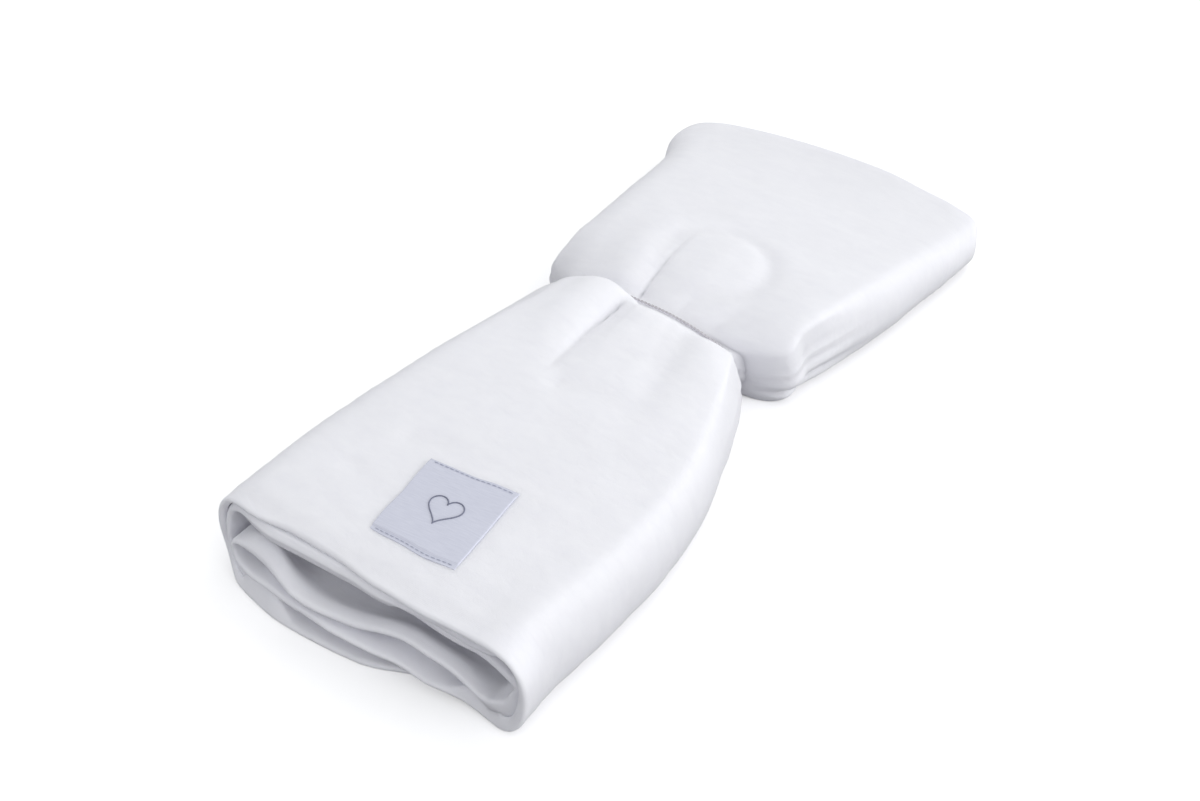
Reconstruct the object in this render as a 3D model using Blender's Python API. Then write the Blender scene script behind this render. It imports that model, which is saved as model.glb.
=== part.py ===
"""Swaddle blanket: a muslin cloth folded to a strip, wrapped flat and drawn in by a thin cord.

Metres, +Z up. The blanket lies on z = 0 with its length along Y; the origin is under its middle.
The wrapped strip is laid out first as a section of long runs joined by round turns. One map then
carries every point of that section to its place: it narrows the bundle at the waist, swells the two
halves, rounds the far corners and presses the creases in. The map never folds over itself, so the
layers stay apart wherever it squeezes them.
"""
import math

import bpy
import numpy as np

MM = 0.001

# Driving dimensions, in millimetres.
HALF_WIDTH = 72.5        # half the section's width before it is mapped
FULL_HEIGHT = 40.0       # the section's height before it is mapped
CLOTH = 2.4              # thickness of the folded strip of cloth
NEAR_END = -166.0        # nominal ends of the strip along Y
FAR_END = 174.0
TIE_Y = 10.0             # where the cord goes round
CORD = 1.0               # diameter of the cord
GAP = 0.4                # room kept between two pieces
LABEL_WIDTH = 35.0       # the square label's two sides
LABEL_LENGTH = 36.8
LABEL_THICKNESS = 0.9
LABEL_AT = (8.3, -131.6)
LABEL_TURN = math.radians(5.6)
LABEL_CELLS = 10
TIE_STEPS = 84           # lengths of the cord's loop
TIE_SIDES = 6
HULL_STEPS = 64          # directions in which the taut outline is swollen
MIDDLE = (0.609, -1.997)  # the bundle's middle in the tables below, carried to the origin

# The wrapped strip, from its outer end to its inner end. Heights are those of the strip's middle, at
# even steps along the run. The reach is how far the round turn after the run goes past its end.
RUNS = (
    # name           from    to     reach   heights along the run
    ("under left",    35.0, -54.0,  -17.2,  (1.2, 1.2, 1.2, 1.2, 1.2)),
    ("top",          -54.0,  60.0,   10.0,  (38.8, 38.8, 38.8, 38.8, 38.8)),
    ("lower leaf",    58.5, -54.0,   -8.4,  (1.2, 3.4, 6.0, 9.0, 10.0, 10.9, 11.2, 11.4, 9.4)),
    ("upper leaf",   -54.0,  54.0,    7.2,  (21.4, 20.2, 16.6, 14.0, 14.3, 17.4, 18.6, 16.2, 9.0)),
    ("inner return",  61.5, -42.0,   -1.8,  (27.9, 28.2, 28.2, 28.1, 28.0)),
    ("pleat",        -42.0,  54.0,    1.8,  (31.4, 31.6, 31.7, 31.7, 31.6)),
    ("second top",    54.0, -54.0,  -12.4,  (35.1, 35.2, 35.2, 35.2, 35.1)),
    ("under inner",  -54.0,   9.0,    0.0,  (4.9, 4.8, 4.8, 4.8, 4.8)),
)
COLUMN = 9.0             # the runs have their points at multiples of this, so the layers stay parallel
COLUMN_MARGIN = 0.25     # but none this close to a run's end, as a share of the spacing
TURN_STEP = 7.0          # spacing of the section's points along a round turn
TURN_FULLNESS = 0.8      # 1 gives oval turns, less gives squarer ones

# The bundle from above and from the side, a row for each place along its length.
PLAN = (
    #   y      left   right  height
    (-178.0,  -69.0,  69.0,  39.0),
    (-150.0,  -67.0,  69.5,  40.5),
    (-120.0,  -66.0,  72.5,  41.0),
    (-90.0,   -62.5,  74.0,  41.5),
    (-60.0,   -57.5,  70.5,  42.0),
    (-35.0,   -53.0,  62.5,  41.5),
    (-15.0,   -50.5,  55.0,  40.5),
    (0.0,     -51.0,  46.5,  38.0),
    (10.0,    -53.0,  36.5,  30.3),
    (18.0,    -61.5,  57.5,  31.8),
    (30.0,    -62.0,  61.5,  34.5),
    (50.0,    -63.0,  68.0,  35.5),
    (80.0,    -66.5,  75.0,  33.5),
    (110.0,   -69.5,  79.5,  30.0),
    (125.0,   -72.5,  82.0,  27.5),
    (142.0,   -80.0,  83.5,  25.0),
    (178.0,   -82.0,  86.5,  20.5),
)

# How far each end of the strip lies past its nominal end, across the bundle.
NEAR_REACH = (
    # across   under layers lead by
    (-1.0,   2.5),
    (-0.8,   8.0),
    (-0.6,  11.0),
    (-0.35, 11.6),
    (-0.1,   9.6),
    (0.13,   6.4),
    (0.3,    2.6),
    (0.42,   2.4),
    (0.55,   1.5),
    (0.7,    1.3),
    (0.85,   2.0),
    (1.0,    0.5),
)
FAR_REACH = (
    # across   the end lies past the nominal far end by
    (-1.0,  -30.0),
    (-0.92, -18.0),
    (-0.8,  -11.0),
    (-0.55,  -4.5),
    (-0.35,  -2.0),
    (0.1,    -0.5),
    (0.28,   -1.5),
    (0.5,    -6.0),
    (0.75,  -11.5),
    (0.9,   -18.0),
    (1.0,   -28.0),
)
NEAR_FADE = 55.0         # the ends' unevenness dies out over these lengths
FAR_FADE = 72.0

# Long soft troughs (negative) and ridges (positive) pressed into the upper face. Each is deepest at
# its first place and fades towards its second.
CREASES = (
    # name             x0     y0     x1     y1   height  width
    ("near trough",    -8.0,   4.0,  -5.0, -50.0,  -2.2,   7.0),
    ("near roll",     -25.0,   4.0, -20.0, -50.0,   1.6,   9.0),
    ("far trough",    -11.5,  14.0, -17.0,  56.0,  -1.6,   5.0),
    ("far left roll", -26.0,  20.0, -30.0,  66.0,   1.5,   9.0),
    ("right crease",   21.0,   0.0,  34.0, -58.0,  -1.6,   6.0),
    ("waist trough",    2.0, -58.0,  36.0, -50.0,  -1.3,   7.0),
    ("label trough",  -24.0, -110.0, 13.0, -104.0, -1.1,   6.0),
    ("left dent",     -32.0, -133.0, -14.0, -136.0, -0.7,  5.0),
)
CREASE_LOSS = 0.75       # share of its height that a crease has lost at its second place
CREASE_END = 6.0         # how softly it ends
DOME = (4.5, 46.5, 24.0, 22.0, 1.3)      # middle x, y, half-lengths in x and y, height
DOME_SPREAD = 0.85
# How far the near half's upper cloth swells towards the cord, across the bundle.
LIP = (
    #  x      shift
    (-56.0,   0.5),
    (-44.0,   2.5),
    (-30.0,   5.0),
    (-14.0,   5.6),
    (-8.0,    4.5),
    (-4.0,    1.2),
    (4.0,     0.4),
    (30.0,    0.0),
    (45.0,    1.5),
)
LIP_Y = -1.0             # where it swells most
LIP_WIDTH = 6.5
LIP_CLEAR = 4.0          # it swells less this close to the cord
SEAT = 1.4               # half-length of the level seat under the cord
WAIST_LIFT = 2.6         # room under the waist, for the cord
SIDE_LIFT = 0.6          # how much more the waist's two sides are lifted
LIFT_LENGTH = 7.0
CROWN_DROP = 0.05        # how far the upper face falls towards the sides, as a share of the height
WAIST_DROP = 0.24        # and how much more at the waist
WAIST_LENGTH = 14.0
GROOVE_SHARE = 0.85      # the cord presses this share of the creases flat
GROOVE_LENGTH = 4.0


def smooth_curve(at, places, values):
    """A smooth curve through the given places, level beyond its two ends."""
    places = np.asarray(places, float)
    values = np.asarray(values, float)
    at = np.clip(at, places[0], places[-1])
    slopes = np.gradient(values, places)
    slopes[0] = slopes[-1] = 0.0
    row = np.clip(np.searchsorted(places, at, side="right") - 1, 0, len(places) - 2)
    span = places[row + 1] - places[row]
    t = (at - places[row]) / span
    return (values[row] * (1 + 2 * t) * (1 - t) ** 2
            + slopes[row] * span * t * (1 - t) ** 2
            + values[row + 1] * t * t * (3 - 2 * t)
            - slopes[row + 1] * span * t * t * (1 - t))


def column(table, index):
    return [row[index] for row in table]


def fade(distance, length):
    """1 at no distance, falling smoothly to 0 at the given length."""
    t = np.clip(distance / length, 0.0, 1.0)
    return (1 - t) ** 2 * (1 + 2 * t)


def bell(distance, width):
    return np.exp(-(distance / width) ** 2)


def run_places(start, end):
    """Where a run has its points: at its two ends and at the columns between them."""
    low, high = sorted((start, end))
    columns = np.arange(math.ceil(low / COLUMN + COLUMN_MARGIN),
                        math.floor(high / COLUMN - COLUMN_MARGIN) + 1) * COLUMN
    places = np.concatenate([[low], columns, [high]])
    return places if end > start else places[::-1]


def strip_middle():
    """The middle line of the wrapped strip, as points (across, up)."""
    points = []
    for number, (_, start, end, reach, heights) in enumerate(RUNS):
        across = run_places(start, end)
        share = (across - start) / (end - start)
        up = smooth_curve(share, np.linspace(0.0, 1.0, len(heights)), heights)
        points += list(zip(across, up))
        if number + 1 < len(RUNS):
            begin = np.array(points[-1])
            _, next_start, _, _, next_heights = RUNS[number + 1]
            finish = np.array((next_start, next_heights[0]))
            middle = (begin + finish) / 2
            half = (begin - finish) / 2
            arc = math.pi * (abs(reach) + np.linalg.norm(half)) / 2
            turns = max(4, round(arc / TURN_STEP))
            for angle in np.linspace(0.0, math.pi, turns + 1)[1:-1]:
                points.append(tuple(middle + half * math.cos(angle)
                                    + np.array((reach, 0.0)) * math.sin(angle) ** TURN_FULLNESS))
    return np.array(points)


def strip_outline():
    """The closed outline of the wrapped strip, half its thickness to each side of its middle."""
    middle = strip_middle()
    along = np.gradient(middle, axis=0)
    along /= np.linalg.norm(along, axis=1)[:, None]
    side = np.stack([-along[:, 1], along[:, 0]], axis=1) * CLOTH / 2
    return np.vstack([middle + side, (middle - side)[::-1]])


def crease_height(x, y):
    """Height that the long troughs and ridges add at a place seen from above."""
    total = np.zeros(np.broadcast(x, y).shape)
    for _, x0, y0, x1, y1, height, width in CREASES:
        run = np.array((x1 - x0, y1 - y0))
        length = np.linalg.norm(run)
        run = run / length
        along = (x - x0) * run[0] + (y - y0) * run[1]
        off = (x - x0) * -run[1] + (y - y0) * run[0]
        past = np.maximum(np.maximum(-along, along - length), 0.0)
        strength = 1.0 - np.clip(along / length, 0, 1) * CREASE_LOSS
        total = total + height * strength * bell(off, width) * bell(past, CREASE_END)
    return total


def dome_height(x, y):
    """The raised round patch on the far half."""
    middle_x, middle_y, half_x, half_y, height = DOME
    reach = np.sqrt(((x - middle_x) / half_x) ** 2 + ((y - middle_y) / half_y) ** 2)
    return height * bell(reach, DOME_SPREAD)


def side_places(y):
    """The middle and the half-width of the bundle at a place along its length."""
    left = smooth_curve(y, column(PLAN, 0), column(PLAN, 1))
    right = smooth_curve(y, column(PLAN, 0), column(PLAN, 2))
    return (left + right) / 2, (right - left) / 2


def top_height(x, y):
    """Height of the blanket's upper face at a place seen from above."""
    height = smooth_curve(y, column(PLAN, 0), column(PLAN, 3))
    middle, half_width = side_places(y)
    across = np.abs(x - middle) / half_width
    drop = CROWN_DROP + WAIST_DROP * bell(y - TIE_Y, WAIST_LENGTH)
    slack = (crease_height(x, y) + dome_height(x, y)) * (1.0 - np.clip(across, 0, 1) ** 6)
    groove = 1.0 - GROOVE_SHARE * bell(y - TIE_Y, GROOVE_LENGTH)
    return height * (1.0 - drop * across ** 2.5) + slack * groove


def floor_height(x, y):
    """How far the blanket's lower face is lifted, near the cord only."""
    middle, half_width = side_places(y)
    across = np.abs(x - middle) / half_width
    return WAIST_LIFT * fade(np.abs(y - TIE_Y), LIFT_LENGTH) * (1.0 + SIDE_LIFT * across ** 3)


def place(across, up, y):
    """Carries a point of the section, at a nominal place along Y, to the blanket's real shape."""
    n = across / HALF_WIDTH
    w = up / FULL_HEIGHT
    lead = smooth_curve(n, column(NEAR_REACH, 0), column(NEAR_REACH, 1))
    near = -lead * (1.0 - w)
    far = smooth_curve(n, column(FAR_REACH, 0), column(FAR_REACH, 1))
    y = (y + near * fade(y - NEAR_END, NEAR_FADE)
         + far * fade(FAR_END - y, FAR_FADE))
    middle, half_width = side_places(y)
    x = middle + n * half_width
    lower = floor_height(x, y)
    z = lower + w * (top_height(x, y) - lower)
    swell = smooth_curve(x, column(LIP, 0), column(LIP, 1)) * w ** 2
    swell = swell * bell(y - LIP_Y, LIP_WIDTH) * (1.0 - bell(y - TIE_Y, LIP_CLEAR))
    return np.stack([x, y + swell, z], axis=-1)


# Places along Y where the section is set.
SEAT_STATIONS = (TIE_Y - SEAT, TIE_Y + SEAT)
STATIONS = (NEAR_END, -148.0, -124.0, -100.0, -77.0, -57.0, -39.0, -24.0, -11.0, -1.0, 4.5,
            *SEAT_STATIONS, 16.0, 23.0, 34.0, 47.0, 62.0, 82.0, 108.0, 134.0, 158.0, FAR_END)


def new_object(name, vertices, faces, colour, roughness, sheen):
    mesh = bpy.data.meshes.new(name)
    mesh.from_pydata((vertices - (*MIDDLE, 0.0)) * MM, [], faces)
    mesh.shade_smooth()
    mesh.set_sharp_from_angle(angle=math.radians(60.0))
    material = bpy.data.materials.new(name)
    material.use_nodes = True
    shader = material.node_tree.nodes["Principled BSDF"]
    shader.inputs["Base Color"].default_value = (*colour, 1.0)
    shader.inputs["Roughness"].default_value = roughness
    shader.inputs["Metallic"].default_value = 0.0
    shader.inputs["Sheen Weight"].default_value = sheen
    mesh.materials.append(material)
    piece = bpy.data.objects.new(name, mesh)
    bpy.context.scene.collection.objects.link(piece)
    return piece


def tube_faces(rings, count, closed):
    """Side faces between rings of the same number of points, the last joined to the first if closed."""
    faces = []
    for ring in range(rings if closed else rings - 1):
        here = ring * count
        there = ((ring + 1) % rings) * count
        for i in range(count):
            j = (i + 1) % count
            faces.append((here + i, here + j, there + j, there + i))
    return faces


def build_blanket():
    outline = strip_outline()
    count = len(outline)
    half = count // 2
    vertices = np.vstack([place(outline[:, 0], outline[:, 1], y) for y in STATIONS])
    faces = tube_faces(len(STATIONS), count, closed=False)
    last = (len(STATIONS) - 1) * count
    for i in range(half - 1):
        j = count - 1 - i
        faces.append((i, i + 1, j - 1, j)[::-1])
        faces.append((last + i, last + i + 1, last + j - 1, last + j))
    return new_object("blanket", vertices, faces, (0.86, 0.87, 0.89), 0.9, 0.3)


def build_label():
    cells = LABEL_CELLS
    share = np.linspace(-0.5, 0.5, cells + 1)
    p, q = np.meshgrid(share * LABEL_WIDTH, share * LABEL_LENGTH, indexing="ij")
    x = LABEL_AT[0] + p * math.cos(LABEL_TURN) - q * math.sin(LABEL_TURN)
    y = LABEL_AT[1] + p * math.sin(LABEL_TURN) + q * math.cos(LABEL_TURN)
    lower = top_height(x, y) + GAP
    sheets = [np.stack([x, y, lower + t], axis=-1).reshape(-1, 3) for t in (0.0, LABEL_THICKNESS)]
    upper_start = (cells + 1) ** 2
    faces = []
    for i in range(cells):
        for j in range(cells):
            a = i * (cells + 1) + j
            b = a + cells + 1
            faces.append((a, a + 1, b + 1, b))
            faces.append(tuple(upper_start + k for k in (a, b, b + 1, a + 1)))
    rim = ([i * (cells + 1) for i in range(cells)]
           + [cells * (cells + 1) + j for j in range(cells)]
           + [i * (cells + 1) + cells for i in range(cells, 0, -1)]
           + [j for j in range(cells, 0, -1)])
    for a, b in zip(rim, rim[1:] + rim[:1]):
        faces.append((a, b, upper_start + b, upper_start + a))
    return new_object("label", np.vstack(sheets), faces, (0.6, 0.62, 0.7), 0.45, 0.0)


def hull(points):
    """The taut outline round a set of points, anticlockwise."""
    points = sorted(set(map(tuple, np.round(points, 4))))

    def turn(chain):
        result = []
        for point in chain:
            while len(result) > 1 and (
                    (result[-1][0] - result[-2][0]) * (point[1] - result[-2][1])
                    - (result[-1][1] - result[-2][1]) * (point[0] - result[-2][0])) <= 0:
                result.pop()
            result.append(point)
        return result[:-1]

    return np.array(turn(points) + turn(points[::-1]))


def build_tie():
    outline = strip_outline()
    seat = np.vstack([place(outline[:, 0], outline[:, 1], y) for y in SEAT_STATIONS])
    taut = hull(seat[:, (0, 2)])
    angles = np.linspace(0.0, 2 * math.pi, HULL_STEPS, endpoint=False)
    directions = np.stack([np.cos(angles), np.sin(angles)], axis=1)
    offset = CORD / 2 + GAP
    swollen = hull((taut[:, None, :] + offset * directions[None]).reshape(-1, 2))
    loop = np.vstack([swollen, swollen[:1]])
    length = np.concatenate([[0.0], np.cumsum(np.linalg.norm(np.diff(loop, axis=0), axis=1))])
    even = np.linspace(0.0, length[-1], TIE_STEPS, endpoint=False)
    route = np.stack([np.interp(even, length, loop[:, k]) for k in (0, 1)], axis=1)
    along = np.roll(route, -1, axis=0) - np.roll(route, 1, axis=0)
    along /= np.linalg.norm(along, axis=1)[:, None]
    outward = np.stack([along[:, 1], -along[:, 0]], axis=1)
    rings = []
    for centre, out in zip(route, outward):
        for k in range(TIE_SIDES):
            angle = 2 * math.pi * k / TIE_SIDES
            flat = centre + out * math.cos(angle) * CORD / 2
            rings.append((flat[0], TIE_Y + math.sin(angle) * CORD / 2, flat[1]))
    faces = tube_faces(TIE_STEPS, TIE_SIDES, closed=True)
    return new_object("tie", np.array(rings), faces, (0.55, 0.53, 0.53), 0.8, 0.0)


def main():
    for leftover in list(bpy.data.objects):
        bpy.data.objects.remove(leftover)
    build_blanket()
    build_label()
    build_tie()


main()
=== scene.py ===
"""Swaddle blanket: a crinkled muslin cloth wrapped flat, drawn in by a thin cord, with a woven label.

Tables and shapes are in millimetres, in the tables' own frame; every piece is carried to the part's
origin and to metres as it is made. The cloth is one closed sheet: a wrapped section, carried to each
place along the bundle by a map that pinches the waist, presses creases in and gathers the cloth.
"""
import math

import bpy
import numpy as np
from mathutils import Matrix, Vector


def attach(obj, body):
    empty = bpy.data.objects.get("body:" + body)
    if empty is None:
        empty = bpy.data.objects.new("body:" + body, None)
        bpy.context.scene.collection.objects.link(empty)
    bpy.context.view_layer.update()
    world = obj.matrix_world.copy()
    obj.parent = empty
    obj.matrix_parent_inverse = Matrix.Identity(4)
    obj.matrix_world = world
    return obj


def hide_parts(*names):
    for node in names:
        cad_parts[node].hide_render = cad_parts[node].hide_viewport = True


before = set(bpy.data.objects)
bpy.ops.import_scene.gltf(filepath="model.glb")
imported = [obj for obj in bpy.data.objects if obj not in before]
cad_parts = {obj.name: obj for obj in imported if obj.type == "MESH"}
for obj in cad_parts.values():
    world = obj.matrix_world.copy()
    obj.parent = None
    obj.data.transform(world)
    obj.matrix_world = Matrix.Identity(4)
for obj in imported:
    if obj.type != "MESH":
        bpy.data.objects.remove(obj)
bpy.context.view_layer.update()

MM = 0.001

# Driving dimensions of the bundle, those of the solids.
HALF_WIDTH = 72.5
FULL_HEIGHT = 40.0
CLOTH = 2.4  # thickness of the strip
NEAR_END = -166.0  # nominal ends of the strip along Y
FAR_END = 174.0
TIE_Y = 10.0  # where the cord goes round
MIDDLE = (0.609, -1.997)  # where the part's origin lies in the tables' frame

# The label, its two lower ends and what is sewn on it.
LABEL_WIDTH = 35.0
LABEL_LENGTH = 36.8
LABEL_AT = (8.3, -131.6)
LABEL_TURN = math.radians(5.6)
LABEL_PRESS = 0.3  # how far the label's stitches draw the cloth down
PRESS_FIT = 1.9  # near 2: the hollow is as wide as the label
PRESS_POWER = 6  # how steep its sides are
PRESS_SMOOTHING = 0.9  # the share of the crinkles it takes out
LABEL_LIFT = 0.2  # room under the label
LABEL_THICKNESS = 0.4  # of its ends; the rest stands up twice as far
LABEL_RIM = 0.5  # its rim is round over this length
LABEL_EDGE = 0.25  # the share of the thickness left at the very edge
LABEL_WANDER = 0.7  # how far its edges wander
LABEL_WANDER_CELL = 10.0
LABEL_WAVE = 0.12  # how far its face waves
LABEL_WAVE_CELLS = (9.0, 7.0)
LABEL_BOW = 1.5  # how far the near edge bows out, where, and over what width
LABEL_BOW_AT = 7.0
LABEL_BOW_WIDTH = LABEL_WIDTH / 4
LABEL_CELLS = (64, 72)
LABEL_CROWDING = 0.92  # how far the mesh crowds to the edges, at most 1
HEM = 1.6  # the width of the lower ends, and of the slope beside them
HEM_SLOPE = 0.5
STITCH_IN = 1.0  # how far in from the end the stitches run
STITCH_PITCH = 2.1
STITCH_LENGTH = 1.7
STITCH_POINTS = 7
STITCH_ARCH = 1.3  # how high a stitch arches and how sharply its ends dip, in radii
STITCH_DIP = 7.0
STITCH_SINK = 0.12  # how deep the stitches press the label in, and how far to each side
STITCH_GROOVE = 0.5
THREAD_RADIUS = 0.15
THREAD_SIDES = 6
THREAD_TAPER = (0.25, 0.75, 1.0)  # an open thread's thickness at its last points, as shares
HEART_WIDTH = 32.0  # width of the heart's plain curve
MOTIF_SIZE = 13.0  # width of the heart on the label
MOTIF_RADIUS = 0.24
MOTIF_LIFT = 0.5  # how far its middle line lies above the label, in radii
MOTIF_STEPS = 120

# The cord.
CORD = 1.0  # diameter of the cord
CORD_GAP = 0.1  # room between it and the cloth
HULL_STEPS = 64  # points of the circle that carries it round the cloth's corners
TIE_SMOOTHING = 3  # passes
TWIST_PITCH = 3.4  # one turn of the cord's twist
TWIST_STEPS = 12
STRAND_OFF = 0.24  # each strand's distance from the cord's middle and its radius, as shares
STRAND_RADIUS = 0.29

# The wrapped strip, from its outer end to its inner end. Heights are those of the strip's middle, at
# even steps along the run. The reach is how far the round turn after the run goes past its end, to
# the left if negative. The step is the spacing of the mesh along the run.
RUNS = (
    # name           from    to    heights along the run               reach   step
    ("under left",    35.0, -54.0, (1.2,) * 5,                          -17.2,  4.5),
    ("top",          -54.0,  60.0, (38.8,) * 5,                          10.0,  2.25),
    ("lower leaf",    58.5, -54.0, (1.2, 3.4, 6.0, 9.0, 10.0, 10.9, 11.2, 11.4, 9.4), -8.4, 3.5),
    ("upper leaf",   -54.0,  54.0, (21.4, 20.2, 16.6, 14.0, 14.3, 17.4, 18.6, 16.2, 9.0), 7.2, 3.5),
    ("inner return",  61.5, -42.0, (27.9, 28.2, 28.2, 28.1, 28.0),      -1.8,  4.5),
    ("pleat",        -42.0,  54.0, (31.4, 31.6, 31.7, 31.7, 31.6),       1.8,  4.5),
    ("second top",    54.0, -54.0, (35.1, 35.2, 35.2, 35.2, 35.1),     -12.4,  4.5),
    ("under inner",  -54.0,   9.0, (4.9, 4.8, 4.8, 4.8, 4.8),            0.0,  4.5),
)
# How far inside the wrap's near end the runs' own ends lie, at places across, in the strip's order.
# A negative one lies outside.
RECESS = {
    # run: (across, inside by), from its start to its end
    "under left": ((35.0, 4.5), (21.0, 1.6), (4.0, -0.8), (-34.0, -0.8), (-54.0, 0.0)),
    "lower leaf": ((46.0, 0.0), (30.0, -2.0), (10.0, -3.8), (-8.0, -3.2), (-24.0, -1.2),
                   (-36.0, -0.5), (-54.0, 0.5)),
    "upper leaf": ((-54.0, 0.0), (-26.0, -2.2), (14.0, -2.2), (32.0, -1.2), (54.0, 0.8)),
    "inner return": ((61.5, 0.9), (46.0, 3.5), (-42.0, 6.0)),
    "pleat": ((-42.0, 6.0), (10.0, 5.0), (30.0, 2.6), (54.0, 3.0)),
    "second top": ((54.0, 4.0), (30.0, 1.5), (12.0, 0.0), (-10.0, -1.2), (-40.0, -1.2),
                   (-54.0, 0.0)),
    "under inner": ((-54.0, 2.0), (-42.0, 8.0), (9.0, 8.0)),
}
RECESS_FADE = 30.0  # the layers are back in their plain places this far in
# Near that end some runs puff up towards another and almost fill the room, over a stretch across and
# from a little inside of the run's own end.
FILLS = (
    # run           towards         from    to    inside  rises  fades over
    ("upper leaf",  "lower leaf",   -53.0, -16.0,  3.0,    2.2,   7.0),
    ("lower leaf",  "upper leaf",    38.0,  70.0,  0.4,    1.6,  12.0),
    ("under left",  "lower leaf",   -64.0, -28.0,  0.3,    1.2,  14.0),
    ("second top",  "inner return", -66.0,  22.0,  0.2,    2.2,   6.0),
    ("second top",  "top",          -66.0,  60.0,  0.3,    1.2,  12.0),
    ("pleat",       "second top",     2.0,  60.0,  1.2,    1.8,  12.0),
)
FILL_GAP = 0.25  # room that is left between the two
FILL_RAMP = 9.0  # how softly the stretch across starts and ends
# And how far the turns after some runs puff up there, to their side +1 or -1, at five places round.
TURN_FILLS = (
    # after run     side   start early middle late end
    ("under left",   -1.0, (1.5, 1.1, 1.2, 0.9, 0.0)),
    ("upper leaf",   -1.0, (4.3, 5.4, 1.6, 0.9, 0.0)),
    ("top",          -1.0, (0.0, 0.9, 1.4, 2.4, 5.0)),
    ("second top",   -1.0, (0.9, 0.9, 1.1, 0.9, 0.0)),
)
TURN_RISE = 1.2  # they are fullest this far in
TURN_FADE = 12.0  # and plain again this far in
# Behind their rims the two leaves dip.
DIPS = {
    # run: (across, depth)
    "upper leaf": ((-54.0, 0.0), (-44.0, 5.0), (-34.0, 6.0), (-27.0, 4.0), (-13.0, 3.0),
                   (0.0, 3.0), (14.0, 5.0), (27.0, 7.0), (40.0, 6.0), (54.0, 1.0)),
    "lower leaf": ((-54.0, 0.0), (-26.0, 0.0), (-13.0, 2.8), (0.0, 2.8), (12.0, 0.5), (58.5, 0.0)),
}
# And the rims themselves stand a little higher there.
RISES = {
    # run: (across, height)
    "upper leaf": ((-54.0, 0.0), (-40.0, 0.3), (-26.0, 1.8), (0.0, 2.9), (14.0, 2.9), (30.0, 1.6),
                   (54.0, 0.0)),
    "lower leaf": ((-54.0, 0.0), (-26.0, 0.4), (0.0, 0.9), (14.0, 0.9), (40.0, 0.0), (58.5, 0.0)),
}
RISE_FADE = 26.0
DIP_FROM = 4.0  # where the dip starts, how soon it is deepest, and where it has died out
DIP_LENGTH = 9.0
DIP_FADE = 60.0
# How high the upper leaf's rim stands up in a soft bead.
BEAD = (
    # (across, height)
    (-56.0, 1.5), (-50.0, 3.6), (-42.0, 4.0), (-34.0, 1.8), (-27.0, 0.8), (0.0, 0.7),
    (14.0, 0.4), (50.0, 0.0),
)
BEAD_AT = 4.5  # how far in it stands
BEAD_WIDTH = 4.0
FINE_TURN = 1.7  # spacing of the mesh along the two outer turns
TURN_STEP = 2.6  # and along the inner ones
LEAST_TURN_STEPS = 5
RUN_SAMPLES = 1000  # places at which the spacing along a run is worked out
TURN_FULLNESS = 0.8  # 1 gives oval turns, less gives squarer ones
FINE_MARGIN = 9.0  # how far the fine mesh of the outer face runs on past the outer turns

# The bundle from above and from the side, a row for each place along its length.
PLAN = (
    #   y      left   right  height
    (-178.0,  -69.0,  69.0,  39.0),
    (-150.0,  -67.0,  69.5,  40.5),
    (-120.0,  -66.0,  72.5,  41.0),
    (-90.0,   -62.5,  74.0,  41.5),
    (-60.0,   -57.5,  70.5,  42.0),
    (-35.0,   -53.0,  62.5,  41.5),
    (-15.0,   -50.5,  55.0,  40.5),
    (0.0,     -51.0,  46.5,  38.0),
    (10.0,    -53.0,  36.5,  30.3),
    (18.0,    -61.5,  57.5,  31.8),
    (30.0,    -62.0,  61.5,  34.5),
    (50.0,    -63.0,  68.0,  35.5),
    (80.0,    -66.5,  75.0,  33.5),
    (110.0,   -69.5,  79.5,  30.0),
    (125.0,   -72.5,  82.0,  27.5),
    (142.0,   -80.0,  83.5,  25.0),
    (178.0,   -82.0,  86.5,  20.5),
)

# How far each end of the strip lies past its nominal end, at shares of the half-width across.
NEAR_REACH = (
    # (across, under layers lead by)
    (-1.0, 2.5), (-0.8, 8.0), (-0.6, 11.0), (-0.35, 11.6), (-0.1, 9.6), (0.13, 6.4), (0.3, 2.6),
    (0.42, 2.4), (0.55, 1.5), (0.7, 1.3), (0.85, 2.0), (1.0, 0.5),
)
FAR_REACH = (
    # (across, the end lies past the nominal far end by)
    (-1.0, -30.0), (-0.92, -18.0), (-0.8, -11.0), (-0.55, -4.5), (-0.35, -2.0), (0.1, -0.5),
    (0.28, -1.5), (0.5, -6.0), (0.75, -11.5), (0.9, -18.0), (1.0, -28.0),
)
NEAR_FADE = 55.0  # how far from each end that is felt
FAR_FADE = 72.0

# Long soft troughs (negative) and ridges (positive) of the upper face, deepest at their first place.
CREASES = (
    # name             x0     y0     x1     y1   height  width
    ("near trough",    -8.0,   4.0,  -5.0, -50.0,  -2.2,   7.0),
    ("near roll",     -25.0,   4.0, -20.0, -50.0,   1.6,   9.0),
    ("far trough",    -11.5,  14.0, -17.0,  56.0,  -1.6,   5.0),
    ("far left roll", -26.0,  20.0, -30.0,  66.0,   1.5,   9.0),
    ("right crease",   21.0,   0.0,  34.0, -58.0,  -1.6,   6.0),
    ("waist trough",    2.0, -58.0,  36.0, -50.0,  -1.3,   7.0),
    ("label trough",  -24.0, -110.0, 13.0, -104.0, -1.1,   6.0),
    ("left dent",     -32.0, -133.0, -14.0, -136.0, -0.7,  5.0),
    ("end roll",       58.0, -182.0,  61.0, -124.0,  3.6, 10.0),
)
CREASE_LOSS = 0.75  # the share of its height that one loses towards its last place
CREASE_SHARPNESS = 2.0  # 2 gives round troughs, less gives sharper ones
CREASE_END = 6.0  # how softly they end
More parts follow.
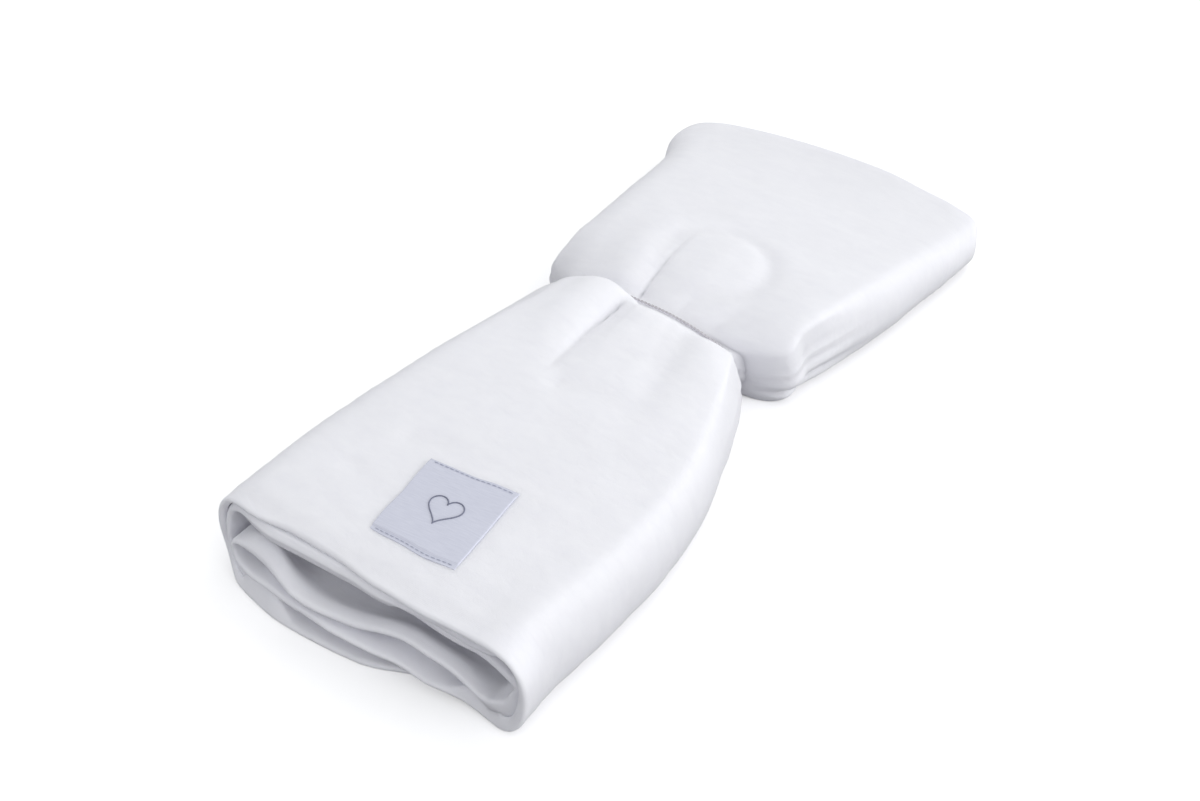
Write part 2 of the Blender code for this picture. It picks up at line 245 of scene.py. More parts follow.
# Sharp folds of the upper face, with steep sides that meet in a line.
FOLDS = (
    # name             x0     y0     x1     y1   height  width
    ("near fold",      -9.8,  -7.0,  -7.4, -50.0,  -3.2,   1.8),
    ("near fold edge", -3.0,   0.0,   0.5, -30.0,   0.7,   2.6),
    ("far fold",      -11.6,  13.0, -13.0,  56.0,  -1.5,   0.9),
    ("side pleat",     12.0,   3.0,  22.0, -30.0,  -0.9,   2.6),
    ("left pleat",    -33.0,   2.0, -31.0, -26.0,  -0.5,   2.6),
    ("far pleat",       8.0,  14.0,   9.0,  27.0,  -0.7,   2.2),
    ("far right pleat", 24.0, 14.0,  33.0,  34.0,  -0.9,   2.6),
)
FOLD_SHARPNESS = 1.15
FOLD_END = 3.0
DOME = (4.5, 46.5, 24.0, 22.0, 1.3)  # the round patch: its middle, half-widths and height
DOME_SPREAD = 0.85
RING_DEPTH = 1.15  # of the shallow ring round it, as a share of its height
RING_WIDTH = 0.2
RING_TURN = math.radians(40.0)  # where round the patch the ring is deepest
RING_LEAST = 0.25  # and how deep it still is on the other side, as a share
# How far the near half's upper cloth swells over the cord, across the bundle.
LIP = (
    # (x, shift)
    (-56.0, 0.5), (-44.0, 2.5), (-30.0, 5.0), (-14.0, 5.6), (-8.0, 4.5), (-4.0, 1.2),
    (4.0, 0.4), (30.0, 0.0), (45.0, 1.5),
)
LIP_Y = -1.0  # where along the bundle, and how widely
LIP_WIDTH = 6.5
LIP_CLEAR = 4.0  # and how far from the cord the swelling stops
SEAT = 1.4  # the cloth this close to the cord's middle is what the cord lies on
WAIST_LIFT = 2.6  # how far the waist's underside is lifted, and how much more at its sides
SIDE_LIFT = 0.6
LIFT_LENGTH = 7.0
CROWN_DROP = 0.05  # how much lower the bundle is at its sides than in the middle, as a share
CROWN_POWER = 2.5  # and how late across it drops
SLACK_POWER = 6  # how late across the creases die out
END_DROP = 0.035  # how much lower the bundle is at its near end, as a share
END_BEND = 9.0  # how far in that is felt
END_SPREAD = 4.5  # how far the right side spreads at that end, above and below
END_FOOT = 1.5
SPREAD_LENGTH = 16.0
WAIST_DROP = 0.24  # how much more the sides drop at the waist
WAIST_LENGTH = 14.0
GROOVE_SHARE = 0.85  # the share of the creases that the cord presses out
GROOVE_LENGTH = 4.0

# Gathers round the waist, a row for each set: how many round the bundle, where the first lies, and
# how deep they are on each side of the cord, as a share of the distance from the bundle's middle.
GATHERS = (
    # count  turn   near side  far side
    (7,      0.6,   0.016,     0.015),
    (12,     2.1,   0.010,     0.011),
    (21,     0.2,   0.005,     0.006),
)
GATHER_PEAK = 9.0  # how far from the cord they are deepest, and how slowly they die out
GATHER_LENGTH = 17.0
GATHER_SHIFT = 1.3  # how far round those of the far side are turned on
GATHER_REACH = 1.2  # they grow no deeper past this share of the section's size

# Crinkles of the muslin, a row for each size: they run across the bundle.
CRINKLES = (
    # length  pitch  height
    (9.0,     3.4,   0.08),
    (15.0,    6.0,   0.13),
    (30.0,   13.0,   0.24),
)
CRINKLE_BEND = 3.4  # how far a crinkle wanders along the bundle
CRINKLE_BEND_CELLS = (31.0, 24.0)
WANDER = 0.32  # how far a layer wanders from its plain place
WANDER_CELLS = (26.0, 41.6)
WANDER_START = 30.0  # and the length of the strip's outer end that is stiller
EDGE_WANDER = 0.9  # how far a folded edge wanders along the bundle
EDGE_CELL = 19.0
EDGE_FADE = 14.0
NOISE_CELLS = 251  # cells after which the noise repeats
CRUMPLE = 3.2  # how far the inner turn at the right is crumpled inward at the near end
CRUMPLE_CELL = 6.5
CRUMPLE_FADE = 26.0

# A seed for each use of the noise; each size of crinkle adds its number to the crinkles' own.
WANDER_SEED = 3
BEND_SEED = 5
EDGE_SEED = 8
CRUMPLE_SEED = 14
CRINKLE_SEED = 20
LABEL_WAVE_SEED = 31
LABEL_WANDER_SEED = 37

# Places along Y where the mesh has points.
STATION_STEP = 1.0
COARSE_EVERY = 6  # the inside of the wrap has every sixth of them at least
RIM_STEPS = 5  # points round each folded edge
END_ROUND = 1.25  # the folded edge is round over this length
END_CAP = 0.06  # and flat over this share of its thickness
END_DETAIL = 9.0  # every layer is fine this close to the near end
END_STEP = 0.7
NEAR_DETAIL = 34.0  # and the inner layers half as fine this close
NEAR_EVERY = 2
FOLD_MIDDLE = -9.0  # the upper face is finer across, either side of this place, for its folds
FOLD_STEP = 1.0
FOLD_REACH = 11.0

# Finishes, as red, green and blue: the darker and the lighter tone of each.
MUSLIN_TONES = ((0.868, 0.868, 0.926), (0.908, 0.908, 0.96))
SATIN_TONES = ((0.575, 0.59, 0.685), (0.66, 0.675, 0.765))
STITCH_TONES = ((0.36, 0.38, 0.47), (0.46, 0.48, 0.58))
MOTIF_TONES = ((0.13, 0.14, 0.20), (0.20, 0.21, 0.29))
CORD_TONES = ((0.47, 0.45, 0.48), (0.62, 0.6, 0.62))
MUSLIN_PLAIN = (0.85, 0.85, 0.9)  # the plain colours under the two cloths' tones
SATIN_PLAIN = (0.62, 0.64, 0.745)
THREAD_ROUGHNESS = 0.6
CORD_ROUGHNESS = 0.85

# The stage, in metres and watts.
FLOOR_REACH = 20.0
FLOOR_COLOUR = (0.9, 0.9, 0.9)
FLOOR_GLOW = 0.3
FLOOR_ROUGHNESS = 0.9
BELOW_COLOUR = (0.15, 0.15, 0.17)  # of the floor that throws light back, and how deep it lies
BELOW_DEPTH = 0.0002
WORLD_COLOUR = (0.97, 0.98, 1.0)
WORLD_STRENGTH = 0.82
LAMPS = (
    # name    at                 size  power
    ("back", (0.3, 1.1, 1.4),    1.1,   3.7),
    ("side", (1.5, 0.1, 0.38),   1.2,  13.5),
)

# The camera that gives the photograph's outline of the bundle, in the tables' frame.
CAMERA_AT = (221.457, -342.771, 360.991)
CAMERA_DOWN = math.radians(42.46)
CAMERA_TURN = math.radians(35.34)
CAMERA_LENS = 39.24
CAMERA_SENSOR = 36.0
CAMERA_NEAREST = 0.01  # what is closer, in metres, isn't shown


def smooth_curve(at, places, values):
    """A smooth curve through the given places, level beyond its two ends."""
    places = np.asarray(places, float)
    values = np.asarray(values, float)
    at = np.clip(at, places[0], places[-1])
    slopes = np.gradient(values, places)
    slopes[0] = slopes[-1] = 0.0
    row = np.clip(np.searchsorted(places, at, side="right") - 1, 0, len(places) - 2)
    span = places[row + 1] - places[row]
    t = (at - places[row]) / span
    return (values[row] * (1 + 2 * t) * (1 - t) ** 2
            + slopes[row] * span * t * (1 - t) ** 2
            + values[row + 1] * t * t * (3 - 2 * t)
            - slopes[row + 1] * span * t * t * (1 - t))


def column(table, index):
    return [row[index] for row in table]


def from_table(at, table, index=1):
    """The smooth curve through one of a table's columns, over its first."""
    return smooth_curve(at, column(table, 0), column(table, index))


def fade(distance, length):
    """1 at no distance, falling smoothly to 0 at the given length."""
    t = np.clip(distance / length, 0.0, 1.0)
    return (1 - t) ** 2 * (1 + 2 * t)


def rise(distance, length, fall):
    """0 up to no distance, rising to about 1 at the given length, back at 0 at the longer one."""
    return (1 - fade(distance, length)) * fade(distance, fall)


def bell(distance, width):
    return np.exp(-(distance / width) ** 2)


def soft_noise(x, y, cell_x, cell_y, seed):
    """Smooth random values from -1 to 1, in cells of the given size."""
    table = np.random.default_rng(seed).uniform(-1.0, 1.0, (NOISE_CELLS, NOISE_CELLS))
    across, along = np.broadcast_arrays(x / cell_x, y / cell_y)
    i = np.floor(across).astype(int)
    j = np.floor(along).astype(int)
    p = across - i
    q = along - j
    p = p * p * (3 - 2 * p)
    q = q * q * (3 - 2 * q)
    value = np.zeros(across.shape)
    for step_i, share_i in ((0, 1 - p), (1, p)):
        for step_j, share_j in ((0, 1 - q), (1, q)):
            corner = table[(i + step_i) % NOISE_CELLS, (j + step_j) % NOISE_CELLS]
            value += share_i * share_j * corner
    return value


def run_steps(name, start, end, step):
    """Places along a run, closer together where the upper face's folds are."""
    if name != "top":
        return np.linspace(start, end, round(abs(end - start) / step) + 1)
    fine = np.linspace(start, end, RUN_SAMPLES)
    density = 1 / step + (1 / FOLD_STEP - 1 / step) * bell(fine - FOLD_MIDDLE, FOLD_REACH)
    total = np.concatenate([[0.0], np.cumsum((density[1:] + density[:-1]) / 2 * np.diff(fine))])
    return np.interp(np.linspace(0.0, total[-1], round(total[-1]) + 1), total, fine)


def run_height(name, across):
    """Height of a run's middle at places across the bundle, level past the run's two ends."""
    _, start, end, heights, _, _ = next(run for run in RUNS if run[0] == name)
    share = (np.asarray(across) - start) / (end - start)
    return smooth_curve(share, np.linspace(0.0, 1.0, len(heights)), heights)


def strip_middle():
    """The wrapped strip's middle line as points (across, up), and where each run starts and ends."""
    points = []
    marks = {}
    for number, (name, start, end, _, reach, step) in enumerate(RUNS):
        across = run_steps(name, start, end, step)
        first = len(points)
        points += list(zip(across, run_height(name, across)))
        marks[name] = (first, len(points) - 1)
        if number + 1 < len(RUNS):
            begin = np.array(points[-1])
            following = RUNS[number + 1]
            finish = np.array((following[1], following[3][0]))
            middle = (begin + finish) / 2
            half = (begin - finish) / 2
            arc = math.pi * (abs(reach) + np.linalg.norm(half)) / 2
            turns = max(LEAST_TURN_STEPS, round(arc / (FINE_TURN if number < 2 else TURN_STEP)))
            for angle in np.linspace(0.0, math.pi, turns + 1)[1:-1]:
                points.append(tuple(middle + half * math.cos(angle)
                                    + np.array((reach, 0.0)) * math.sin(angle) ** TURN_FULLNESS))
    return np.array(points), marks


def recess_of_layers(middle, marks):
    """How far inside the near end each point of the strip's middle line ends."""
    at = []
    depths = []
    for name, rows in RECESS.items():
        first, last = marks[name]
        for across, depth in rows:
            at.append(first + np.argmin(np.abs(middle[first:last + 1, 0] - across)))
            depths.append(depth)
    return np.interp(np.arange(len(middle)), at, depths)


def fills_of_layers(middle, marks, out, past):
    """How far each point of the strip puffs up near its end, to its sides +1 and -1."""
    swell = {1.0: np.zeros((len(middle), past.size)), -1.0: np.zeros((len(middle), past.size))}
    for name, other, start, end, inside, length, fall in FILLS:
        first, last = marks[name]
        here = slice(first, last + 1)
        across = middle[here, 0]
        away = run_height(other, across) - middle[here, 1]
        ramp = (1 - fade(across - start, FILL_RAMP)) * (1 - fade(end - across, FILL_RAMP))
        side = np.sign(out[(first + last) // 2, 1] * np.mean(away))
        room = np.maximum(np.abs(away) - CLOTH - FILL_GAP, 0.0)
        puff = (room * ramp)[:, None] * rise(past - inside, length, fall)
        swell[side][here] = np.maximum(swell[side][here], puff)
    names = column(RUNS, 0)
    for name, side, depths in TURN_FILLS:
        first = marks[name][1]
        last = marks[names[names.index(name) + 1]][0]
        here = slice(first, last + 1)
        turned = np.linspace(0.0, 1.0, last + 1 - first)
        depth = smooth_curve(turned, np.linspace(0.0, 1.0, len(depths)), depths)
        puff = depth[:, None] * rise(past, TURN_RISE, TURN_FADE)
        swell[side][here] = np.maximum(swell[side][here], puff)
    first, last = marks["upper leaf"]
    height = from_table(middle[first:last + 1, 0], BEAD)
    swell[1.0][first:last + 1] += height[:, None] * bell(past - BEAD_AT, BEAD_WIDTH)
    return swell


def heights_from(table, middle, marks):
    """A table's heights at the points of the strip's middle line, for the runs that it names."""
    height = np.zeros(len(middle))
    for name, rows in table.items():
        first, last = marks[name]
        height[first:last + 1] = from_table(middle[first:last + 1, 0], rows)
    return height[:, None]


def dips_of_layers(middle, marks, past):
    """How far each point of the strip lies below its plain place near that end."""
    dip = heights_from(DIPS, middle, marks) * rise(past - DIP_FROM, DIP_LENGTH, DIP_FADE)
    return dip - heights_from(RISES, middle, marks) * fade(past, RISE_FADE)


def side_places(y):
    """The middle and the half-width of the bundle at a place along its length."""
    left = from_table(y, PLAN, 1)
    right = from_table(y, PLAN, 2)
    return (left + right) / 2, (right - left) / 2


def crease_height(x, y, creases, sharpness, end):
    """Height that long troughs and ridges add at a place seen from above."""
    total = np.zeros(np.broadcast(x, y).shape)
    for _, x0, y0, x1, y1, height, width in creases:
        run = np.array((x1 - x0, y1 - y0))
        length = np.linalg.norm(run)
        run = run / length
        along = (x - x0) * run[0] + (y - y0) * run[1]
        off = (x - x0) * -run[1] + (y - y0) * run[0]
        past = np.maximum(np.maximum(-along, along - length), 0.0)
        strength = 1.0 - np.clip(along / length, 0, 1) * CREASE_LOSS
        profile = np.exp(-(np.abs(off) / width) ** sharpness)
        total = total + height * strength * profile * bell(past, end)
    return total


def dome_height(x, y):
    """The raised round patch on the far half, with a shallow ring round it."""
    middle_x, middle_y, half_x, half_y, height = DOME
    reach = np.sqrt(((x - middle_x) / half_x) ** 2 + ((y - middle_y) / half_y) ** 2)
    turn = np.arctan2(y - middle_y, x - middle_x) - RING_TURN
    depth = RING_DEPTH * (RING_LEAST + (1.0 - RING_LEAST) * (1.0 + np.cos(turn)) / 2)
    return height * (bell(reach, DOME_SPREAD) - depth * bell(reach - 1.0, RING_WIDTH))


def top_height(x, y):
    """Height of the blanket's upper face at a place seen from above."""
    middle, half_width = side_places(y)
    bend = END_DROP * fade(y - NEAR_END, END_BEND) * fade(x - middle, half_width)
    height = from_table(y, PLAN, 3) * (1.0 - bend)
    across = np.abs(x - middle) / half_width
    drop = CROWN_DROP + WAIST_DROP * bell(y - TIE_Y, WAIST_LENGTH)
    creases = crease_height(x, y, CREASES, CREASE_SHARPNESS, CREASE_END)
    folds = crease_height(x, y, FOLDS, FOLD_SHARPNESS, FOLD_END)
    slack = creases + folds + dome_height(x, y)
    slack = slack * (1.0 - np.clip(across, 0, 1) ** SLACK_POWER)
    groove = 1.0 - GROOVE_SHARE * bell(y - TIE_Y, GROOVE_LENGTH)
    return height * (1.0 - drop * across ** CROWN_POWER) + slack * groove


def floor_height(x, y):
    """How far the blanket's lower face is lifted, near the cord only."""
    middle, half_width = side_places(y)
    across = np.abs(x - middle) / half_width
    return WAIST_LIFT * fade(np.abs(y - TIE_Y), LIFT_LENGTH) * (1.0 + SIDE_LIFT * across ** 3)


def gather(across, up, y):
    """Draws a point of the section in or out: the cloth is gathered on both sides of the cord."""
    centre = FULL_HEIGHT / 2
    angle = np.arctan2((up - centre) / centre, across / HALF_WIDTH)
    off = np.abs(y - TIE_Y)
    strength = (off / GATHER_PEAK) ** 2 * np.exp(-(off - GATHER_PEAK) / GATHER_LENGTH * 2)
    strength = np.clip(strength, 0.0, 1.0)
    near = y < TIE_Y
    change = np.zeros(np.broadcast(across, y).shape)
    for count, turn, near_depth, far_depth in GATHERS:
        depth = np.where(near, near_depth, far_depth)
        phase = turn + np.where(near, 0.0, GATHER_SHIFT)
        change = change + depth * np.sin(count * angle + phase)
    reach = np.clip(np.hypot(across / HALF_WIDTH, (up - centre) / centre), 0.0, GATHER_REACH)
    grip = 1.0 + change * strength * reach ** 2
    lifted = centre + (up - centre) * grip
    return across * grip, np.where(up < centre, up, lifted)


def place(across, up, y):
    """Carries a point of the section, at a nominal place along Y, to the blanket's real shape."""
    across, up = gather(across, up, y)
    n = across / HALF_WIDTH
    w = up / FULL_HEIGHT
    near = -from_table(n, NEAR_REACH) * (1.0 - w)
    far = from_table(n, FAR_REACH)
    y = y + near * fade(y - NEAR_END, NEAR_FADE) + far * fade(FAR_END - y, FAR_FADE)
    middle, half_width = side_places(y)
    lean = (END_SPREAD * w ** 2 + END_FOOT * (1.0 - w)) * np.clip(n, 0.0, 1.0) ** 4
    x = middle + n * half_width + lean * fade(y - NEAR_END, SPREAD_LENGTH)
    lower = floor_height(x, y)
    z = lower + w * (top_height(x, y) - lower)
    swell = from_table(x, LIP) * w ** 2
    swell = swell * bell(y - LIP_Y, LIP_WIDTH) * (1.0 - bell(y - TIE_Y, LIP_CLEAR))
    return np.stack([x, y + swell, z], axis=-1)


def crinkle(u, y):
    """Height of the crinkles at a distance u along the strip and a place y along Y."""
    bent = y + CRINKLE_BEND * soft_noise(u, y, *CRINKLE_BEND_CELLS, BEND_SEED)
    total = np.zeros(np.broadcast(u, y).shape)
    for number, (length, pitch, height) in enumerate(CRINKLES):
        total = total + height * soft_noise(u, bent, length, pitch, CRINKLE_SEED + number)
    return total


def stations():
    """Places along Y, and which of them the coarse columns have."""
    rim = END_ROUND * (1 - np.cos(np.linspace(0.0, math.pi / 2, RIM_STEPS)))
    detail = np.arange(NEAR_END + END_ROUND + END_STEP, NEAR_END + END_DETAIL, END_STEP)
    inner = np.arange(detail[-1] + STATION_STEP, FAR_END - END_ROUND, STATION_STEP)
    places = np.concatenate([NEAR_END + rim, detail, inner, (FAR_END - rim)[::-1]])
    coarse = [k for k, y in enumerate(places)
              if k < len(rim) + len(detail) or k >= len(places) - len(rim)
              or (y < NEAR_END + NEAR_DETAIL and k % NEAR_EVERY == 0)
              or k % COARSE_EVERY == 0]
    return places, coarse


def to_metres(points):
    return (np.asarray(points) - (*MIDDLE, 0.0)) * MM


def add_object(name, data):
    thing = bpy.data.objects.new(name, data)
    bpy.context.scene.collection.objects.link(thing)
    return thing


def new_mesh(name, vertices, faces, material):
    """A smooth shaded object of that mesh, its points in millimetres."""
    mesh = bpy.data.meshes.new(name)
    mesh.from_pydata(to_metres(vertices).tolist(), [], faces)
    mesh.shade_smooth()
    mesh.materials.append(material)
    return add_object(name, mesh)


def set_map(piece, places):
    """Gives each point its place on the flat cloth, for the weave."""
    layer = piece.data.uv_layers.new(name="weave")
    corners = np.zeros(len(piece.data.loops), int)
    piece.data.loops.foreach_get("vertex_index", corners)
    layer.data.foreach_set("uv", (places[corners] * MM).ravel())


def bridge(first, second):
    """Faces between two columns of the mesh, {station: point}; one may lack some stations."""
    common = sorted(first.keys() & second.keys())
    faces = []
    for low, high in zip(common, common[1:]):
        here = [first[k] for k in range(low, high + 1) if k in first]
        there = [second[k] for k in range(low, high + 1) if k in second]
        faces.append(tuple(here + there[::-1]))
    return faces


def relief_of_cloth(middle, inside, u, y):
    """The outer face's crinkles, none where the fine columns end, and the hollow under the label."""
    share = (1.0 - fade(np.maximum(inside, 0.0), 2 * FINE_MARGIN))[:, None]
    across = (middle[:, :1] - LABEL_AT[0]) / LABEL_WIDTH * PRESS_FIT
    along = (y - LABEL_AT[1]) / LABEL_LENGTH * PRESS_FIT
    on_top = middle[:, 1:] > FULL_HEIGHT - CLOTH
    hollow = on_top * (np.exp(-across ** PRESS_POWER) * np.exp(-along ** PRESS_POWER))
    relief = crinkle(u[:, None], y) * share * (1.0 - PRESS_SMOOTHING * hollow) - LABEL_PRESS * hollow
    return relief * (1.0 - bell(y - TIE_Y, SEAT * 2))


def wander_of_layers(middle, marks, u, y):
    """How far the layers lie off their plain places; the inner turn at the right is crumpled too."""
    wander = WANDER * soft_noise(u[:, None], y, *WANDER_CELLS, WANDER_SEED) * np.ones_like(y)
    wander = wander * (1 - fade(u - u[0], WANDER_START))[:, None]
    still = np.minimum(middle[:, 1:], FULL_HEIGHT - middle[:, 1:]) < CLOTH
    wander = np.where(still, 0.0, wander)
    turn_from = u[marks["upper leaf"][1]]
    turn_to = u[marks["inner return"][0]]
    crumpled = np.clip(np.minimum(u - turn_from, turn_to - u) / CRUMPLE_CELL, 0.0, 1.0)[:, None]
    crumple = 0.5 + 0.5 * soft_noise(u[:, None], y, CRUMPLE_CELL, CRUMPLE_CELL, CRUMPLE_SEED)
    return wander + CRUMPLE * crumple * crumpled * fade(y - NEAR_END, CRUMPLE_FADE)


def shift_of_edges(middle, marks, u, y):
    """How far the layers' near ends lie along Y from their plain places."""
    uneven = soft_noise(u, 0.0, EDGE_CELL, 1.0, EDGE_SEED)[:, None]
    shift = EDGE_WANDER * uneven * fade(y - NEAR_END, EDGE_FADE)
    return shift + recess_of_layers(middle, marks)[:, None] * fade(y - NEAR_END, RECESS_FADE)


def sides_of_cloth(middle, marks, inside, u, places):
    """Points of the sheet's outer and inner face, a row for each point of the strip."""
    y = places[None, :]
    along = np.gradient(middle, axis=0)
    along /= np.linalg.norm(along, axis=1)[:, None]
    out = np.stack([-along[:, 1], along[:, 0]], axis=1)
    relief = relief_of_cloth(middle, inside, u, y)
    wander = wander_of_layers(middle, marks, u, y)
    shift = shift_of_edges(middle, marks, u, y)
    swells = fills_of_layers(middle, marks, out, y - NEAR_END)
    dips = dips_of_layers(middle, marks, y - NEAR_END)
    # The strip's thickness is round at both folded ends.
    past = np.minimum(places - NEAR_END, FAR_END - places)[None, :]
    off_round = 1 - np.clip(past / END_ROUND, 0, 1)
    rounding = np.sqrt(np.clip(1 - off_round ** 2, END_CAP ** 2, 1))
    sides = []
    for side in (1.0, -1.0):
        offset = side * (CLOTH / 2 * rounding + swells[side]) + wander
        if side > 0:
            offset = offset + relief * rounding
        across = middle[:, :1] + out[:, :1] * offset
        up = middle[:, 1:] + out[:, 1:] * offset - dips
        sides.append(place(across, np.maximum(up, 0.0), y + shift))
    return sides


def build_cloth(material):
    """The whole blanket: one closed sheet, fine where it shows, coarser inside the wrap."""
    middle, marks = strip_middle()
    count = len(middle)
    lengths = np.linalg.norm(np.diff(middle, axis=0), axis=1)
    u = np.concatenate([[0.0], np.cumsum(lengths)])
    places, coarse = stations()
    fine_from = u[marks["under left"][1]] - FINE_MARGIN
    fine_to = u[marks["lower leaf"][0]] + FINE_MARGIN
    inside = np.minimum(u - fine_from, fine_to - u)
    outer, inner = sides_of_cloth(middle, marks, inside, u, places)
    points = np.concatenate([outer, inner[::-1]])
    distance = np.concatenate([u, u[::-1]])
    has_all = np.concatenate([inside >= 0, np.zeros(count, bool)])

    vertices = []
    weave_places = []
    columns = []
    for k in range(2 * count):
        kept = range(len(places)) if has_all[k] else coarse
        columns.append({s: len(vertices) + i for i, s in enumerate(kept)})
        vertices.extend(points[k, list(kept)])
        weave_places.extend((distance[k], places[s]) for s in kept)
    faces = []
    for k in range(2 * count):
        faces += bridge(columns[k], columns[(k + 1) % (2 * count)])
    last = len(places) - 1
    for i in range(count - 1):
        ring = [columns[k] for k in (i, i + 1, 2 * count - 2 - i, 2 * count - 1 - i)]
        faces.append(tuple(c[0] for c in ring))
        faces.append(tuple(c[last] for c in ring[::-1]))
    cloth = new_mesh("muslin", vertices, [f[::-1] for f in faces], material)
    set_map(cloth, np.array(weave_places))
    return cloth


def cloth_top(x, y):
    """Height of the muslin under the label."""
    return top_height(x, y) - LABEL_PRESS


def label_point(p, q):
    """A place on the label, p across it and q along it, as seen from above."""
    near = np.clip(-2 * q / LABEL_LENGTH, 0.0, 1.0) ** 3
    wander = LABEL_WANDER * soft_noise(p, q, LABEL_WANDER_CELL, LABEL_WANDER_CELL, LABEL_WANDER_SEED)
    bow = LABEL_BOW * near * bell(p - LABEL_BOW_AT, LABEL_BOW_WIDTH)
    q = q - bow + wander * np.abs(2 * q / LABEL_LENGTH) ** 3
    p = p + wander * np.abs(2 * p / LABEL_WIDTH) ** 3
    x = LABEL_AT[0] + p * math.cos(LABEL_TURN) - q * math.sin(LABEL_TURN)
    y = LABEL_AT[1] + p * math.sin(LABEL_TURN) + q * math.cos(LABEL_TURN)
    return x, y


def label_face(p, q):
    """A point of the label's upper face, which lies lower along its two stitched ends."""
    x, y = label_point(p, q)
    from_end = LABEL_LENGTH / 2 - np.abs(q)
    hem = 1.0 - fade(HEM + HEM_SLOPE - from_end, HEM_SLOPE)
    wave = LABEL_WAVE * soft_noise(p, q, *LABEL_WAVE_CELLS, LABEL_WAVE_SEED)
    sink = STITCH_SINK * bell(from_end - STITCH_IN, STITCH_GROOVE)
    lift = LABEL_LIFT + LABEL_THICKNESS * (1.0 + (1.0 - hem)) + wave - sink
    return x, y, cloth_top(x, y) + lift


def crowded(width, cells):
    """Places across a width, closer together towards its two edges."""
    turns = np.linspace(-math.pi / 2, math.pi / 2, cells + 1) * LABEL_CROWDING
    return width / 2 * np.sin(turns) / math.sin(LABEL_CROWDING * math.pi / 2)


def build_label(material):
    """The woven label: a thin sheet with rounded rims, lower along its two ends."""
    across, along = LABEL_CELLS
    p, q = np.meshgrid(crowded(LABEL_WIDTH, across), crowded(LABEL_LENGTH, along), indexing="ij")
    x, y, upper = label_face(p, q)
    lower = cloth_top(x, y) + LABEL_LIFT / 2
    rim = np.minimum(LABEL_WIDTH / 2 - np.abs(p), LABEL_LENGTH / 2 - np.abs(q))
    plump = np.sqrt(1 - (1 - np.clip(rim / LABEL_RIM, 0, 1)) ** 2)
    middle = (upper + lower) / 2
    half = (upper - lower) / 2 * (LABEL_EDGE + (1 - LABEL_EDGE) * plump)
    sheets = [np.stack([x, y, middle + side * half], axis=-1).reshape(-1, 3) for side in (-1, 1)]
    start = (across + 1) * (along + 1)
    faces = []
    for i in range(across):
        for j in range(along):
            a = i * (along + 1) + j
            b = a + along + 1
            faces.append((a, a + 1, b + 1, b))
            faces.append(tuple(start + k for k in (a, b, b + 1, a + 1)))
    edge = ([i * (along + 1) for i in range(across)]
            + [across * (along + 1) + j for j in range(along)]
            + [i * (along + 1) + along for i in range(across, 0, -1)]
            + [j for j in range(along, 0, -1)])
    for a, b in zip(edge, edge[1:] + edge[:1]):
        faces.append((a, b, start + b, start + a))
    label = new_mesh("label_ribbon", np.vstack(sheets), faces, material)
    places = np.tile(np.stack([p, q], axis=-1).reshape(-1, 2), (2, 1))
    set_map(label, places)
    return label


def thread(route, radius, closed=False, normals=None):
    """Points and faces of a thread along a route; an open one tapers at both ends."""
    route = np.asarray(route, float)
    if closed:
        along = np.roll(route, -1, axis=0) - np.roll(route, 1, axis=0)
    else:
        along = np.gradient(route, axis=0)
    along /= np.linalg.norm(along, axis=1)[:, None]
    up = np.tile((0.0, 0.0, 1.0), (len(route), 1)) if normals is None else normals
    side = np.cross(along, up)
    side /= np.linalg.norm(side, axis=1)[:, None]
    up = np.cross(side, along)
    share = np.ones(len(route))
    if not closed:
        ends = np.minimum(np.arange(len(route)), np.arange(len(route))[::-1])
        share = np.array(THREAD_TAPER)[np.minimum(ends, len(THREAD_TAPER) - 1)]
    sides = THREAD_SIDES
    angles = 2 * math.pi * np.arange(sides) / sides
    ring = (np.cos(angles)[None, :, None] * side[:, None, :]
            + np.sin(angles)[None, :, None] * up[:, None, :])
    points = route[:, None, :] + ring * (radius * share)[:, None, None]
    faces = []
    for i in range(len(route) if closed else len(route) - 1):
        here = i * sides
        there = ((i + 1) % len(route)) * sides
        for k in range(sides):
            m = (k + 1) % sides
            faces.append((here + k, here + m, there + m, there + k))
    if not closed:
        faces.append(tuple(range(sides))[::-1])
        faces.append(tuple((len(route) - 1) * sides + k for k in range(sides)))
    return points.reshape(-1, 3), faces


def join_threads(name, threads, material):
    vertices = []
    faces = []
    for points, own_faces in threads:
        faces += [tuple(len(vertices) + k for k in face) for face in own_faces]
        vertices.extend(points)
    return new_mesh(name, vertices, faces, material)


def build_stitches(material):
    """A row of lock stitches along each end of the label."""
    threads = []
    for end in (-1.0, 1.0):
        q = end * (LABEL_LENGTH / 2 - STITCH_IN)
        count = int((LABEL_WIDTH - 2 * STITCH_IN) / STITCH_PITCH)
        for k in range(count):
            p = (k + 0.5 - count / 2) * STITCH_PITCH
            share = np.linspace(-0.5, 0.5, STITCH_POINTS)
            x, y, z = label_face(p + share * STITCH_LENGTH, np.full(STITCH_POINTS, q))
            z = z + THREAD_RADIUS * (STITCH_ARCH - STITCH_DIP * np.abs(share) ** 3)
            threads.append(thread(np.stack([x, y, z], axis=1), THREAD_RADIUS))
    return join_threads("label_stitches", threads, material)


def build_motif(material):
    """A plain heart outline in thread, in the middle of the label."""
    t = np.linspace(0.0, 2 * math.pi, MOTIF_STEPS, endpoint=False)
    p = 16 * np.sin(t) ** 3
    q = 13 * np.cos(t) - 5 * np.cos(2 * t) - 2 * np.cos(3 * t) - np.cos(4 * t)
    scale = MOTIF_SIZE / HEART_WIDTH
    x, y, z = label_face(p * scale, q * scale)
    route = np.stack([x, y, z + MOTIF_RADIUS * MOTIF_LIFT], axis=1)
    return join_threads("label_motif", [thread(route, MOTIF_RADIUS, closed=True)], material)


